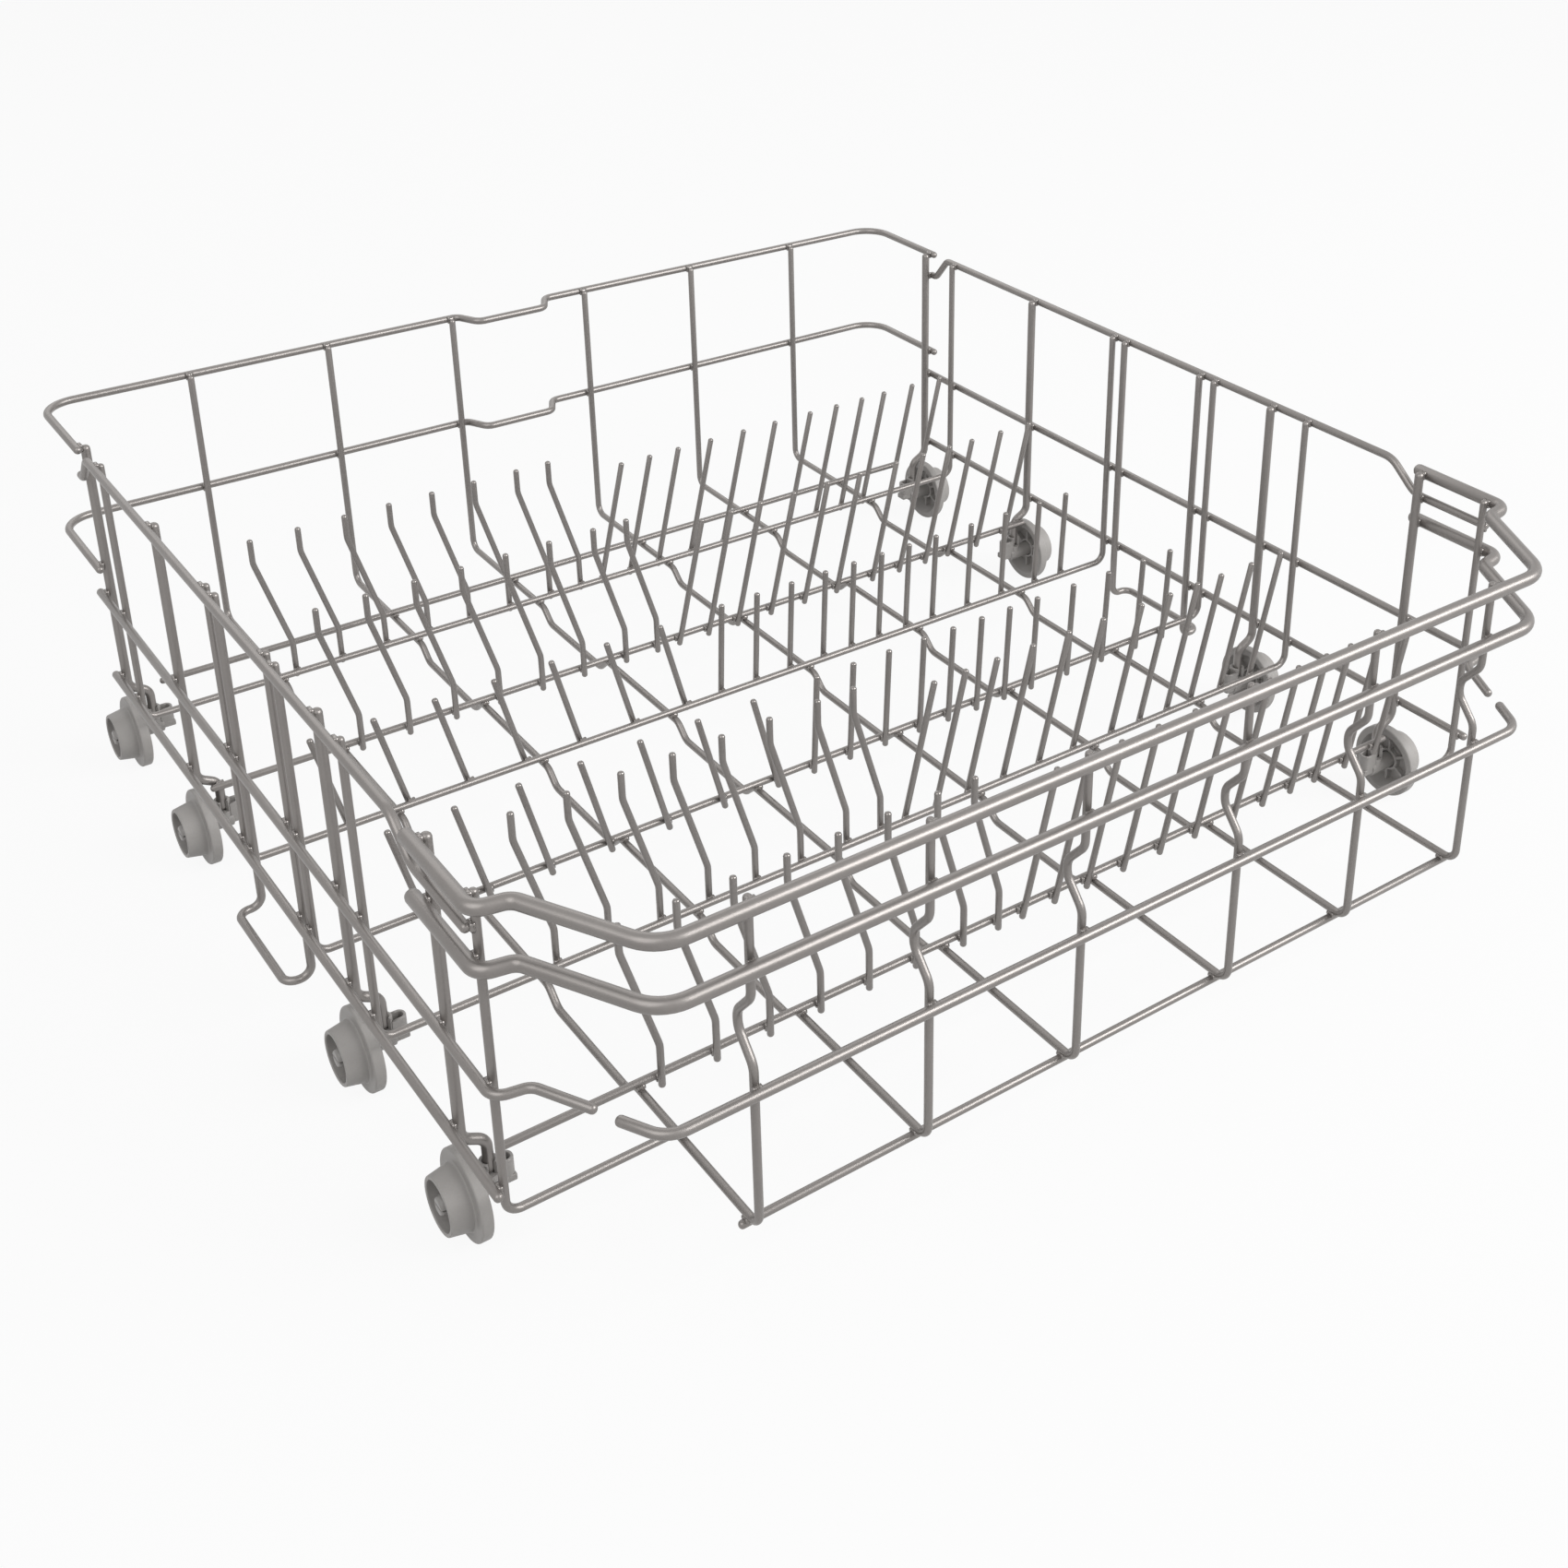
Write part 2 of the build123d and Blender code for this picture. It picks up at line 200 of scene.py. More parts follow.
def carryProfile(profile, route, sideways, shrink):
    # a point (p, q) of the profile goes to route + p * a * across + q * b * upward, where across is
    # sideways x tangent, upward is tangent x across, and a and b are that ring's shrink
    ways = unit(np.diff(route, axis=0))
    tangent = unit(np.concatenate([ways[:1], ways[:-1] + ways[1:], ways[-1:]]))
    across = unit(np.cross(sideways, tangent))[:, None]
    upward = np.cross(tangent[:, None], across)
    p, q = np.moveaxis(profile[None] * shrink[:, None], -1, 0)
    rings = route[:, None] + p[..., None] * across + q[..., None] * upward
    count, sides = rings.shape[:2]
    ends = np.concatenate([ladderQuads(sides)[:, ::-1], ladderQuads(sides) + (count - 1) * sides])
    return rings.reshape(-1, 3), np.concatenate([ringQuads(count, sides), ends])


def circle(radius, sides):
    # radius * (cos(a), sin(a)) at evenly spaced a
    a = np.linspace(0, 2 * np.pi, sides, endpoint=False)
    return radius * np.stack([np.cos(a), np.sin(a)], -1)


dome = dict(depth=0.42, lift=[28, 52, 70, 82])  # a wire's end: share of its diameter, degrees


def wireTube(points, radii, sideways, diameter, sides=24):
    # a circle carried along the bent route; each end is a dome whose rings stand at depth * sin(a)
    # beyond its base and shrink by cos(a)
    route = bentRoute(points, radii)
    depth = dome["depth"] * diameter
    lift = np.radians(dome["lift"])
    first, last = unit(route[1] - route[0]), unit(route[-1] - route[-2])
    route[0] += first * depth
    route[-1] -= last * depth
    head = route[0] - first * depth * np.sin(lift[::-1])[:, None]
    tail = route[-1] + last * depth * np.sin(lift)[:, None]
    shrink = np.concatenate([np.cos(lift[::-1]), np.ones(len(route)), np.cos(lift)])[:, None]
    route = np.concatenate([head, route, tail])
    return carryProfile(circle(diameter / 2, sides), route, sideways, shrink)


def spinProfile(outline, centre, axis, zero, steps):
    # each outline point (along, r) goes to centre + along * axis + r * (cos(a) * zero + sin(a) * side)
    a = np.linspace(0, 2 * np.pi, steps, endpoint=False)[:, None]
    spoke = np.cos(a) * zero + np.sin(a) * np.cross(axis, zero)
    along, r = outline[:, 0], outline[:, 1]
    rings = centre + along[None, :, None] * axis + r[None, :, None] * spoke[:, None]
    return rings.reshape(-1, 3), ringQuads(steps, len(outline), closed=True)[:, ::-1]


def flatRoute(points, radii, arcStep):
    # a closed outline in a plane, with its corners rounded
    return bentRoute([(*point, 0) for point in points], radii, closed=True, arcStep=arcStep)[:, :2]


slab = dict(arcStep=45, lift=[75, 45, 0])  # degrees along a rounded edge, and up a rounded end


def slabProfile(wide, tall, edge):
    # a rectangle about the origin, with its corners rounded
    w, t = wide / 2, tall / 2
    return flatRoute([(-w, -t), (w, -t), (w, t), (-w, t)], edge, slab["arcStep"])


def roundedBar(start, end, sideways, wide, tall, edge):
    # a rounded slab from start to end: the end rings stand edge * (1 - sin(a)) from the tip and draw in
    # by edge * (1 - cos(a)) on all sides
    a = np.radians(slab["lift"])
    stand, draw = edge * (1 - np.sin(a)), edge * (1 - np.cos(a))
    reach = np.linalg.norm(end - start)
    along = np.concatenate([stand, reach - stand[::-1]])
    inset = np.concatenate([draw, draw[::-1]])
    shrink = 1 - np.stack([2 * inset / wide, 2 * inset / tall], -1)
    route = start + np.outer(along, unit(end - start))
    return carryProfile(slabProfile(wide, tall, edge), route, sideways, shrink)


def addPiece(name, parts, finish, body, nodes=()):
    starts = np.cumsum([0] + [len(points) for points, cells in parts])
    points = np.concatenate([points for points, cells in parts]) * mm
    cells = np.concatenate([cells + start for (part, cells), start in zip(parts, starts)])
    mesh = bpy.data.meshes.new(name)
    mesh.from_pydata(points.tolist(), [], cells.tolist(), shade_flat=False)
    mesh.materials.append(finish)
    piece = bpy.data.objects.new(name, mesh)
    scene.collection.objects.link(piece)
    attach(piece, body)
    if nodes:
        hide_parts(*nodes)
    return piece


def addWire(node, parts):
    # the piece takes its node's name, in camelCase
    words = node.split("_")
    name = words[0] + "".join(word.capitalize() for word in words[1:])
    return addPiece(name, parts, coatedWire, "rack", [node])


welds = []  # a row for each weld: where two wires touch, the way between them, the thinner one's radius


def weld(places, way, thin):
    count = len(places)
    welds.append(np.concatenate([places, np.tile(way, (count, 1)), np.full((count, 1), thin / 2)], 1))


def bothCorners(corner):
    # the line of a right corner, mirrored on the left and then run back on the right
    return [(-x, y, z) for x, y, z in corner] + corner[::-1]


xWay, yWay, zWay = np.eye(3)

# sizes that several wires share: thicknesses over the coating, the planes that part posts from rails,
# and the sides of the circles that are finer or coarser than most
rack = dict(wire=3.4, tine=3.0, rail=3.9, bar=6.0, sill=4.2, hanger=4.4, loop=3.7, seat=0.02,
            wallX=251.7, backFace=276.5, frontFace=-274.4, floorZ=39.2, postTop=178.4,
            barSides=32, longSides=20, tineSides=16)
wireR = rack["wire"] / 2
postX = rack["wallX"] - rack["seat"] - wireR
railX = rack["wallX"] + rack["rail"] / 2
longZ = rack["floorZ"] - rack["wire"] - rack["seat"]

# cross wires of the floor: the bent ones rise as side posts, a stay is straight and has its half length
cross = dict(bentY=[189.1, 41.4, -38.9, -105.2, -217.8], bend=6.0,
             stays={"back_stay": (221.2, 233.0), "mid_stay": (107.58, 245.0),
                    "front_stay": (-186.4, 238.0)})
for number, y in enumerate(cross["bentY"], start=1):
    top, low = rack["postTop"], rack["floorZ"]
    line = [(-postX, y, top), (-postX, y, low), (postX, y, low), (postX, y, top)]
    addWire(f"cross_wire_{number}", [wireTube(line, cross["bend"], yWay, rack["wire"])])
for node, (y, half) in cross["stays"].items():
    line = [(-half, y, rack["floorZ"]), (half, y, rack["floorZ"])]
    addWire(node, [wireTube(line, [], yWay, rack["wire"])])
stayY = {node: row[0] for node, row in cross["stays"].items()}
crossY = cross["bentY"] + list(stayY.values())

# long wires: back post, floor with a dip between each pair of tine rows, front post with a jog
longWire = dict(x=[-180.0, -106.5, -35.0, 47.0, 118.0, 189.2], bend=6.0,
                dip=7.2, ramp=8.0, clear=3.0, dipBend=7.0,
                jogZ=107.5, jogIn=9.5, jogRise=11.0, jogFlat=7.0, jogBend=8.0,
                sillY=-265.0, sillOver=4.0)
rowY = [cross["bentY"][0], stayY["mid_stay"], *cross["bentY"][1:4], stayY["front_stay"]]  # of the tines
backY = rack["backFace"] - rack["seat"] - wireR
frontY = rack["frontFace"] + rack["seat"] + wireR
side = [(backY, rack["postTop"]), (backY, longZ)]
bends = [longWire["bend"]]
for behind, ahead in zip(rowY[0::2], rowY[1::2]):
    start = behind - wireR - longWire["clear"]
    end = ahead + wireR + longWire["clear"] / 2
    low = longZ - longWire["dip"]
    side += [(start, longZ), (start - longWire["ramp"], low), (end + longWire["ramp"], low), (end, longZ)]
    bends += [longWire["dipBend"]] * 4
jogZ, rise, innerY = longWire["jogZ"], longWire["jogRise"], frontY + longWire["jogIn"]
jogTop = jogZ + rise + longWire["jogFlat"]
side += [(frontY, longZ), (frontY, jogZ), (innerY, jogZ + rise), (innerY, jogTop), (frontY, jogTop + rise),
         (frontY, rack["postTop"])]
bends += [longWire["bend"]] + [longWire["jogBend"]] * 4
for number, x in enumerate(longWire["x"], start=1):
    line = [(x, y, z) for y, z in side]
    addWire(f"long_wire_{number}", [wireTube(line, bends, xWay, rack["wire"], rack["longSides"])])
sillZ = longZ - rack["wire"] - rack["seat"]
left, right = longWire["x"][0] - longWire["sillOver"], longWire["x"][-1] + longWire["sillOver"]
line = [(left, longWire["sillY"], sillZ), (right, longWire["sillY"], sillZ)]
addWire("sill_wire", [wireTube(line, [], yWay, rack["wire"])])
weld([(x, y, rack["floorZ"] - wireR) for x in longWire["x"] for y in crossY], zWay, rack["wire"])
weld([(x, longWire["sillY"], longZ - wireR) for x in longWire["x"]], zWay, rack["wire"])
print("floor wires")

# back rails, round both corners, with a notch pressed in near the middle: height, where the ends stop
backRail = dict(rows={"back_top_rail": (177.6, 210.8), "back_mid_rail": (114.0, 209.8)}, corner=16.0,
                notchX=-3.5, notchW=40.0, notchRun=7.0, notchDepth=13.7, notchBend=6.0)
railY = rack["backFace"] + rack["rail"] / 2
left = backRail["notchX"] - backRail["notchW"] / 2
right = backRail["notchX"] + backRail["notchW"] / 2
inY = railY - backRail["notchDepth"]
for node, (z, endY) in backRail["rows"].items():
    line = [(-railX, endY, z), (-railX, railY, z), (left - backRail["notchRun"], railY, z), (left, inY, z),
            (right, inY, z), (right + backRail["notchRun"], railY, z), (railX, railY, z), (railX, endY, z)]
    bends = [backRail["corner"]] + [backRail["notchBend"]] * 4 + [backRail["corner"]]
    addWire(node, [wireTube(line, bends, zWay, rack["rail"])])
    weld([(x, rack["backFace"], z) for x in longWire["x"]], yWay, rack["wire"])

# front bars: a jog off the side wall, a slanting corner, then the straight front
frontBar = dict(rows={"front_upper_bar": 176.4, "front_lower_bar": 151.5}, endY=-172.6, jogY=-225.9,
                jogIn=13.2, jogFall=2.4, cornerX=215.5, jogBend=6.5, cornerBend=16.0)
barX = rack["wallX"] + rack["bar"] / 2
barY = rack["frontFace"] - rack["bar"] / 2
slantX, slantY = barX - frontBar["jogIn"], frontBar["jogY"] - frontBar["jogFall"]
for node, z in frontBar["rows"].items():
    corner = [(barX, frontBar["endY"], z), (barX, frontBar["jogY"], z), (slantX, slantY, z),
              (frontBar["cornerX"], barY, z)]
    bends = [frontBar["jogBend"]] * 2 + [frontBar["cornerBend"]] * 2 + [frontBar["jogBend"]] * 2
    addWire(node, [wireTube(bothCorners(corner), bends, zWay, rack["bar"], rack["barSides"])])
    weld([(x, rack["frontFace"], z) for x in longWire["x"]], yWay, rack["wire"])
frontSill = dict(z=98.5, tail=9.5, tailRun=18.0, bend=12.0)
sillY = rack["frontFace"] - rack["sill"] / 2
corner = [(frontBar["cornerX"] + frontSill["tail"], sillY + frontSill["tailRun"], frontSill["z"]),
          (frontBar["cornerX"], sillY, frontSill["z"])]
addWire("front_sill_rail", [wireTube(bothCorners(corner), frontSill["bend"], zWay, rack["sill"])])
weld([(x, rack["frontFace"], frontSill["z"]) for x in longWire["x"]], yWay, rack["wire"])
print("back rails and front bars")

# side rails, guide loops and wheel hangers, the same on both sides
sideRail = dict(topZ=177.2, lowTopZ=164.2, backY=216.0, frontY=-219.2,
                backJogY=209.8, backJogRun=11.0, backJogBend=5.0, stepY=-159.0, stepRun=16.0, stepBend=13.0,
                midZ=98.5, midBackY=220.5, midFrontY=-225.2, midTail=23.3,
                lowZ=51.7, lowBackY=220.0, lowFrontY=-223.0)
guide = dict(y=[31.3, -28.2], z=21.5, out=11.3, bend=5.4, aside=(0.62, 0.5, 0.6))  # along none of its runs
hanger = dict(y=[215.5, 111.5, -81.2, -179.7], bendZ=44.5, footX=240.0, footZ=39.5, endZ=24.0, bend=6.0)
hangerX = rack["wallX"] - rack["seat"] - rack["hanger"] / 2
loopX = rack["wallX"] - rack["seat"] - rack["loop"] / 2
topLine = [(sideRail["backY"], sideRail["lowTopZ"]), (sideRail["backJogY"], sideRail["lowTopZ"]),
           (sideRail["backJogY"] - sideRail["backJogRun"], sideRail["topZ"]),
           (sideRail["stepY"], sideRail["topZ"]),
           (sideRail["stepY"] - sideRail["stepRun"], sideRail["lowTopZ"]),
           (sideRail["frontY"], sideRail["lowTopZ"])]
slope = (slantX - frontBar["cornerX"]) / (slantY - barY)  # a middle rail's tail follows the front corner
jogEnd = sideRail["midFrontY"] - frontBar["jogFall"]
for sign, hand in ((-1, "left"), (1, "right")):
    x = sign * railX
    line = [(x, y, z) for y, z in topLine]
    bends = [sideRail["backJogBend"]] * 2 + [sideRail["stepBend"]] * 2
    addWire(f"{hand}_top_rail", [wireTube(line, bends, xWay, rack["rail"])])
    tailX = x - sign * (frontBar["jogIn"] + slope * sideRail["midTail"])
    flat = [(x, sideRail["midBackY"]), (x, sideRail["midFrontY"]), (x - sign * frontBar["jogIn"], jogEnd),
            (tailX, jogEnd - sideRail["midTail"])]
    line = [(*place, sideRail["midZ"]) for place in flat]
    addWire(f"{hand}_mid_rail", [wireTube(line, frontBar["jogBend"], zWay, rack["rail"])])
    line = [(x, sideRail["lowBackY"], sideRail["lowZ"]), (x, sideRail["lowFrontY"], sideRail["lowZ"])]
    addWire(f"{hand}_low_rail", [wireTube(line, [], xWay, rack["rail"])])

    x, outX, top = sign * loopX, sign * (loopX + guide["out"]), rack["postTop"]
    behind, ahead = guide["y"]
    line = [(x, behind, top), (x, behind, guide["z"]), (outX, behind, guide["z"]),
            (outX, ahead, guide["z"]), (x, ahead, guide["z"]), (x, ahead, top)]
    addWire(f"{hand}_guide_loop", [wireTube(line, guide["bend"], guide["aside"], rack["loop"])])
    for number, y in enumerate(hanger["y"], start=1):
        line = [(sign * hangerX, y, top), (sign * hangerX, y, hanger["bendZ"]),
                (sign * hanger["footX"], y, hanger["footZ"]), (sign * hanger["footX"], y, hanger["endZ"])]
        addWire(f"{hand}_hanger_{number}", [wireTube(line, hanger["bend"], yWay, rack["hanger"])])

    wall = sign * rack["wallX"]
    topRow = cross["bentY"][:4] + guide["y"] + hanger["y"][1:3]
    lowRow = [hanger["y"][0], hanger["y"][3], cross["bentY"][4]]
    allRow = cross["bentY"] + guide["y"] + hanger["y"]
    weld([(wall, y, sideRail["topZ"]) for y in topRow], xWay, rack["wire"])
    weld([(wall, y, sideRail["lowTopZ"]) for y in lowRow], xWay, rack["wire"])
    weld([(wall, y, z) for y in allRow for z in (sideRail["midZ"], sideRail["lowZ"])], xWay, rack["wire"])
    weld([(wall, y, z) for y in lowRow[1:] for z in frontBar["rows"].values()], xWay, rack["wire"])
    weld([(wall, hanger["y"][0], z) for z, endY in backRail["rows"].values()], xWay, rack["wire"])
    weld([(sign * hanger["footX"], stayY["mid_stay"] + wireR, rack["floorZ"])], yWay, rack["wire"])
print("side rails, guide loops and hangers")

# tine rows: bent and slanting tines in the tall rows, short slanting and upright ones in the low rows;
# each kind has the place of its first tine and the steps to the next ones
tine = dict(foot=4.0, bend=11.0, tipDeep=1.25, lowRows=(3, 4),
            bent=(-172.0, [24.5, 24.5, 24.0, 23.7, 23.7, 24.6, 18.8]),
            kneeZ=55.6, neckZ=105.0, bentTop=118.5, bentLean=-14.2,
            slant=(4.8, [18.0, 18.4, 21.4, 22.0, 21.6, 24.7, 18.8, 18.5, 16.3, 21.1, 21.0]),
            slantTop=106.0, slantLean=17.4,
            short=(-202.6, [29.6] * 6), shortTop=88.0, shortLean=-13.0,
            upright=(-5.1, [20.9] * 3 + [17.9] * 4 + [24.0] * 3 + [19.2]),
            uprightTop=88.8, uprightLean=2.6)


def tinePlaces(first, steps):
    # the first place, and the sum of the steps so far beyond it
    return first + np.concatenate([[0], np.cumsum(steps)])


gap = (rack["wire"] + rack["tine"]) / 2 + rack["seat"]
touch = gap * rack["wire"] / (rack["wire"] + rack["tine"])  # from a cross wire's line to where a tine touches
foot = rack["floorZ"] - tine["foot"]
tips = []  # a row for each tine: a little below its end, the way it points, its radius
for number, lineY in enumerate(rowY, start=1):
    behind = 1 if number % 2 else -1  # odd rows stand behind their cross wire, even ones in front
    y = lineY + behind * gap
    tubes, feet = [], []
    kinds = ("short", "upright") if number in tine["lowRows"] else ("bent", "slant")
    for kind in kinds:
        lean, top = tine[f"{kind}Lean"], tine[f"{kind}Top"]
        for x in tinePlaces(*tine[kind]):
            feet.append((x, lineY + behind * touch, rack["floorZ"]))
            line = [(x, y, foot), (x + lean, y, top)]
            if kind == "bent":
                line[1:1] = [(x, y, tine["kneeZ"]), (x + lean, y, tine["neckZ"])]
            tubes.append(wireTube(line, tine["bend"], yWay, rack["tine"], rack["tineSides"]))
            end, way = np.array(line[-1]), unit(np.subtract(line[-1], line[-2]))
            tips.append(np.concatenate([end - tine["tipDeep"] * way, way, [rack["tine"] / 2]]))
    addWire(f"tine_row_{number}", tubes)
    weld(feet, yWay, rack["tine"])
print("tine rows")


def beadShells(rows, spec, steep=0.9):
    # about its way each bead is a flat ellipsoid, height * sin(a) up and girth * cos(a) out, which
    # swells by 1 + lobe * (1 - cos(4 b)) / 2 into the corners between two wires
    places, ways, thin = rows[:, :3], rows[:, 3:6], rows[:, 6, None, None, None]
    helper = np.where(np.abs(ways[:, 2:]) > steep, xWay, zWay)  # a way well off the bead's own
    one = unit(np.cross(helper, ways))
    two = np.cross(ways, one)
    spokes = circle(1.0, spec["sides"])
    corner = 4 * np.arctan2(spokes[:, 1:], spokes[:, :1])
    spokes = spokes * (1 + spec["lobe"] * (1 - np.cos(corner)) / 2)
    ring = spokes[None, :, :1] * one[:, None] + spokes[None, :, 1:] * two[:, None]
    lift = np.radians(spec["lift"])[None, :, None, None]
    rise = spec["height"] * np.sin(lift) * ways[:, None, None]
    shell = rise + spec["girth"] * np.cos(lift) * ring[:, None]
    ends = ladderQuads(spec["sides"])
    cells = np.concatenate([ringQuads(len(spec["lift"]), spec["sides"]), ends[:, ::-1],
                            ends + (len(spec["lift"]) - 1) * spec["sides"]])
    return [(part.reshape(-1, 3), cells) for part in places[:, None, None] + thin * shell]


# the coat pools in the corners of a weld and as a drop on each tine's end
bead = dict(girth=1.02, lobe=0.65, height=0.85, sides=16, lift=[-65, -25, 25, 65])
drop = dict(girth=1.04, lobe=0.0, height=0.90, sides=12, lift=[-30, 0, 35, 72])
rows = np.concatenate(welds)
addPiece("weldBeads", beadShells(rows, bead), weldCoat, "rack")
addPiece("tineTips", beadShells(np.array(tips), drop), weldCoat, "rack")
print("welds:", len(rows), "tine tips:", len(tips))

# wheels: a flange, a tapering tread hollowed from outside, a bowl with a collar inside, ribs in both
wheel = dict(inX=247.0, width=14.0, d=37.0, flange=5.0, treadIn=27.0, treadOut=23.6, wall=1.6, bowlD=30.0,
             bowlFloorD=22.0, bowlDepth=6.5, web=2.0, hubD=10.4, hubEnd=11.0, bore=6.1, collarIn=8.9,
             collarOut=11.6, collarH=3.2, ribT=1.5, ribEdge=0.3, ribs=4, ribTurn=45, bowlRibs=6, bowlTurn=0,
             bowlRibH=3.0, bite=0.4, steps=96, edgeStep=18)
bite = wheel["bite"]  # how far a piece runs into the one that it stands on
axleZ = wheel["d"] / 2
webOut = wheel["bowlDepth"] + wheel["web"]
collarTop = wheel["bowlDepth"] - wheel["collarH"]
rimR = wheel["treadOut"] / 2 - wheel["wall"]
# the wheel's section, point by point: place along the axle, diameter, radius of the edge
tyre = [(wheel["bowlDepth"], wheel["bore"], 0.3), (wheel["bowlDepth"], wheel["collarIn"], 0.2),
        (collarTop, wheel["collarIn"], 0.3), (collarTop, wheel["collarOut"], 0.5),
        (wheel["bowlDepth"], wheel["collarOut"], 0.6), (wheel["bowlDepth"], wheel["bowlFloorD"], 1.2),
        (0, wheel["bowlD"], 0.6), (0, wheel["d"], 0.9), (wheel["flange"], wheel["d"], 0.8),
        (wheel["flange"], wheel["treadIn"], 0.9), (wheel["width"], wheel["treadOut"], 0.5),
        (wheel["width"], 2 * rimR, 0.5), (webOut, 2 * rimR, 0.8), (webOut, wheel["hubD"], 0.5),
        (wheel["hubEnd"], wheel["hubD"], 0.5), (wheel["hubEnd"], wheel["bore"], 0.3)]
tyreEdges = [edge for along, across, edge in tyre]
tyreLine = flatRoute([(along, across / 2) for along, across, edge in tyre], tyreEdges, wheel["edgeStep"])

# axle clips: a slotted socket tube for the hanger's foot, a boss and snap axle, a lug with a wall round it
clip = dict(tubeD=7.6, boreD=4.5, tubeTop=29.6, slotW=3.0, wallSteps=30, bossD=8.0, dimpleD=4.6, dimple=1.4,
            bossEnd=6.2, axleD=6.0, axleEnd=11.3, split=1.2,
            barbD=8.4, barbTip=6.6, barbLen=2.6, barbNeck=0.84, barbShoulder=0.35, barbSides=20,
            barbReach=[0.0, 0.2, 0.7, 1.0],
            lugW=6.4, lugReach=9.5, lugWall=1.3, lugStart=2.6, lugLow=17.0, lugFloor=3.0, lugTop=27.8,
            lugBend=0.9, lugStep=15, edge=0.45, steps=32, edgeStep=30, stubStep=45, pinhole=0.05, hair=0.02)
tubeR, boreR = clip["tubeD"] / 2, clip["boreD"] / 2
hole, hair = clip["pinhole"], clip["hair"]  # a spun outline keeps off its axis, with edges all but sharp
stub = [(axleZ, hole), (axleZ, tubeR), (hanger["endZ"], tubeR), (hanger["endZ"], hole)]
stubLine = flatRoute(stub, hair, clip["stubStep"])
bossStart = hanger["footX"] - tubeR - wheel["inX"]
# the boss and axle's section, point by point: place along the axle, radius, radius of the edge
pin = [(bossStart + clip["dimple"], hole, hair), (bossStart + clip["dimple"], clip["dimpleD"] / 2, 0.3),
       (bossStart, clip["dimpleD"] / 2, 0.3), (bossStart, clip["bossD"] / 2, 0.6),
       (clip["bossEnd"], clip["bossD"] / 2, 0.6), (clip["bossEnd"], clip["axleD"] / 2, 0.2),
       (clip["axleEnd"], clip["axleD"] / 2, 0.3), (clip["axleEnd"], hole, hair)]
pinLine = flatRoute([row[:2] for row in pin], [row[2] for row in pin], clip["edgeStep"])


def spokeRibs(hub, axis, count, turn, inner, outer, low, high):
    # bars along the spokes, spaced evenly round the axle from a first turn: each runs from inner to
    # outer along cos(a) * up + sin(a) * back
    bars = []
    base = hub + (low + high) / 2 * axis
    for a in np.radians(turn) + 2 * np.pi * np.arange(count) / count:
        way = np.cos(a) * zWay + np.sin(a) * yWay
        start, end = base + inner * way, base + outer * way
        bars.append(roundedBar(start, end, axis, wheel["ribT"], high - low, wheel["ribEdge"]))
    return bars


def socketWall(foot):
    # the tube above the foot's seat: a slab carried round the foot, open where the slot faces the front
    half = np.arcsin(clip["slotW"] / (tubeR + boreR))
    a = np.linspace(half, 2 * np.pi - half, clip["wallSteps"]) - np.pi / 2
    middle = (tubeR + boreR) / 2
    low, high = hanger["endZ"] - clip["edge"], clip["tubeTop"]
    route = foot + np.stack([middle * np.cos(a), middle * np.sin(a), np.full(len(a), (low + high) / 2)], -1)
    profile = slabProfile(tubeR - boreR, high - low, clip["edge"])
    return carryProfile(profile, route, zWay, np.ones((len(a), 1)))


def lugLoop(foot, inward):
    # a thin wall on the lug: it leaves the tube, turns round at the inner end and comes back
    side, end = (clip["lugW"] - clip["lugWall"]) / 2, clip["lugReach"] - clip["lugWall"] / 2
    line = [(clip["lugStart"], side, 0), (end, side, 0), (end, -side, 0), (clip["lugStart"], -side, 0)]
    flat = bentRoute(line, clip["lugBend"] * side, arcStep=clip["lugStep"])
    low, high = clip["lugLow"] + clip["lugFloor"] - clip["edge"], clip["lugTop"]
    route = foot + flat[:, :1] * inward + flat[:, 1:2] * yWay + (low + high) / 2 * zWay
    profile = slabProfile(clip["lugWall"], high - low, clip["edge"])
    return carryProfile(profile, route, zWay, np.ones((len(flat), 1)))


def barbLobes(hub, axis):
    # two half discs, each a circle pressed flat along the split, swell to the barb and taper to the tip
    a = 2 * np.pi * (np.arange(clip["barbSides"]) + 0.5) / clip["barbSides"]
    flat = np.maximum(np.sin(a), clip["split"] / clip["barbD"])
    tip, shoulder = clip["barbTip"] / clip["barbD"], clip["barbShoulder"]
    shrink = np.array([clip["barbNeck"], 1.0, shoulder + (1 - shoulder) * tip, tip])[:, None]
    reach = np.array(clip["barbReach"]) * (clip["barbLen"] + bite) - bite
    route = hub + np.outer(clip["axleEnd"] + reach, axis)
    lobes = []
    for lobe in (-1, 1):
        half = clip["barbD"] / 2 * np.stack([np.cos(a), lobe * flat], -1)
        lobes.append(carryProfile(half[::lobe], route, zWay, shrink))
    return lobes


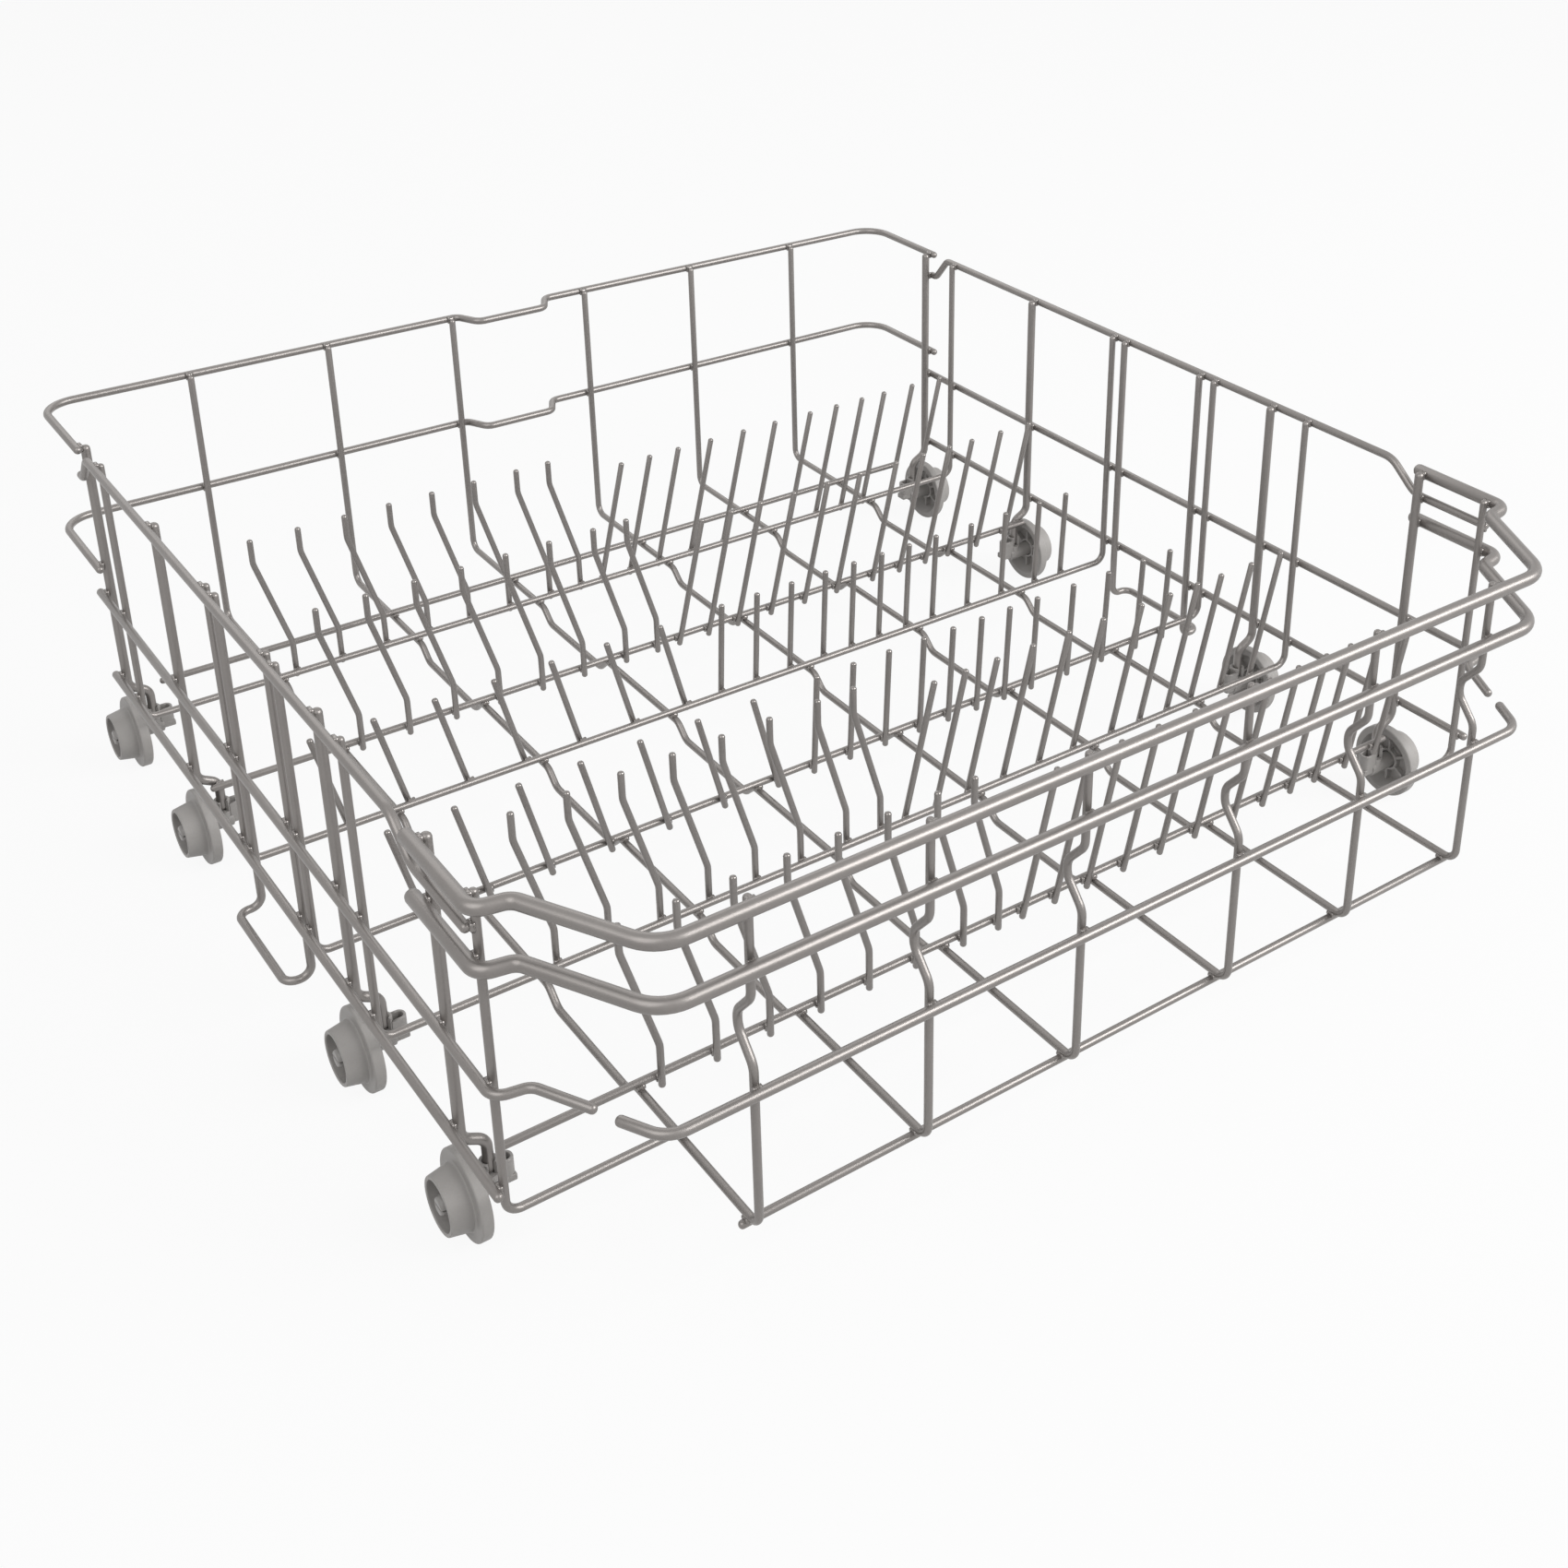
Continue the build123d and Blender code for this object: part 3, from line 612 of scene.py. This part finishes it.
for sign, hand in ((-1, "left"), (1, "right")):
    for number, y in enumerate(hanger["y"], start=1):
        axis, inward = sign * xWay, -sign * xWay
        hub = np.array((sign * wheel["inX"], y, axleZ))
        parts = [spinProfile(tyreLine, hub, axis, zWay, wheel["steps"])]
        parts += spokeRibs(hub, axis, wheel["ribs"], wheel["ribTurn"], wheel["hubD"] / 2 - bite,
                           rimR + bite, webOut - bite, wheel["hubEnd"] - bite)
        parts += spokeRibs(hub, axis, wheel["bowlRibs"], wheel["bowlTurn"], wheel["collarOut"] / 2 - bite,
                           wheel["bowlFloorD"] / 2 + bite, wheel["bowlDepth"] - wheel["bowlRibH"],
                           wheel["bowlDepth"] + bite)
        piece = addPiece(f"{hand}Wheel{number}", parts, wheelPlastic, f"{hand}_wheel_{number}_body",
                         [f"{hand}_wheel_{number}"])
        piece.modifiers.new("evenFlats", "WEIGHTED_NORMAL")

        foot = np.array((sign * hanger["footX"], y, 0.0))
        floorMid = clip["lugLow"] + clip["lugFloor"] / 2
        lugEnd = foot + clip["lugReach"] * inward
        parts = [spinProfile(stubLine, foot, zWay, xWay, clip["steps"]), socketWall(foot),
                 spinProfile(pinLine, hub, axis, zWay, clip["steps"]),
                 roundedBar(foot + floorMid * zWay, lugEnd + floorMid * zWay, zWay, clip["lugW"],
                            clip["lugFloor"], clip["edge"]),
                 lugLoop(foot, inward)]
        piece = addPiece(f"{hand}AxleClip{number}", parts + barbLobes(hub, axis), clipPlastic, "rack",
                         [f"{hand}_axle_clip_{number}"])
        piece.modifiers.new("evenFlats", "WEIGHTED_NORMAL")
print("wheels and clips")


def seenShare(paint):
    # 1 for what the camera sees directly or in a reflection, 0 for what only lights the object
    ray = paint.node("ShaderNodeLightPath", {}, {}, "Is Camera Ray")
    return ray + ray.out("Is Glossy Ray") + ray.out("Is Transmission Ray")


# pale floor: part white light towards the camera, part plain diffuse, so that the shadow stays
floorSizes = dict(half=9.0, glow=0.92, colour=(0.60, 0.60, 0.60, 1))
mesh = bpy.data.meshes.new("floor")
h = floorSizes["half"]
mesh.from_pydata([(-h, -h, 0), (h, -h, 0), (h, h, 0), (-h, h, 0)], [], [(0, 1, 2, 3)])
floor = bpy.data.objects.new("floor", mesh)
scene.collection.objects.link(floor)
material, paint = newFinish("paleFloor")
seen = seenShare(paint)
dull = paint.node("ShaderNodeBsdfDiffuse", {}, {"Color": floorSizes["colour"]})
glow = paint.node("ShaderNodeEmission", {}, {"Color": (1, 1, 1, 1), "Strength": 1.0})
mixed = paint.node("ShaderNodeMixShader", {}, {0: seen * floorSizes["glow"], 1: dull, 2: glow})
paint.node("ShaderNodeOutputMaterial", {}, {"Surface": mixed})
mesh.materials.append(material)

# world: white where it is seen, softer where it lights
sky = bpy.data.worlds.new("softWhite")
scene.world = sky
sky.use_nodes = True
sky.node_tree.nodes.clear()
air = Sock(sky.node_tree)
ambient = 0.42
strength = ambient + seenShare(air) * (1 - ambient)
back = air.node("ShaderNodeBackground", {}, {"Color": (1, 1, 1, 1), "Strength": strength})
air.node("ShaderNodeOutputWorld", {}, {"Surface": back})

# soft boxes: a long one in front on the right, whose streak runs along the cross wires and bars,
# a weaker one behind and a broad one on the left that fill the far sides
lamps = {"keyBox": dict(at=(1.50, -1.47, 1.24), turn=(48, 0, 0), size=(2.30, 1.00), power=56.0),
         "backBox": dict(at=(0.40, 1.60, 1.30), turn=(-52, 0, 0), size=(2.00, 0.80), power=5.0),
         "leftBox": dict(at=(-1.45, -0.75, 1.60), turn=(18, -42, 0), size=(1.60, 1.60), power=15.0)}
for name, spec in lamps.items():
    lamp = bpy.data.lights.new(name, "AREA")
    lamp.shape = "RECTANGLE"
    lamp.size, lamp.size_y = spec["size"]
    lamp.energy = spec["power"]
    holder = bpy.data.objects.new(name, lamp)
    holder.location = spec["at"]
    holder.rotation_euler = np.radians(spec["turn"])
    scene.collection.objects.link(holder)

# camera at the photograph's viewing angle
view = dict(at=(-0.45279, -0.73792, 0.57497), turn=(65.547, -0.678, -37.015), lens=46.387, sensor=36.0,
            shift=(-0.10897, -0.20402))
lens = bpy.data.cameras.new("camera")
lens.sensor_width = view["sensor"]
lens.lens = view["lens"]
lens.shift_x, lens.shift_y = view["shift"]
camera = bpy.data.objects.new("camera", lens)
camera.location = view["at"]
camera.rotation_euler = np.radians(view["turn"])
scene.collection.objects.link(camera)
scene.camera = camera
print("floor, light and camera")
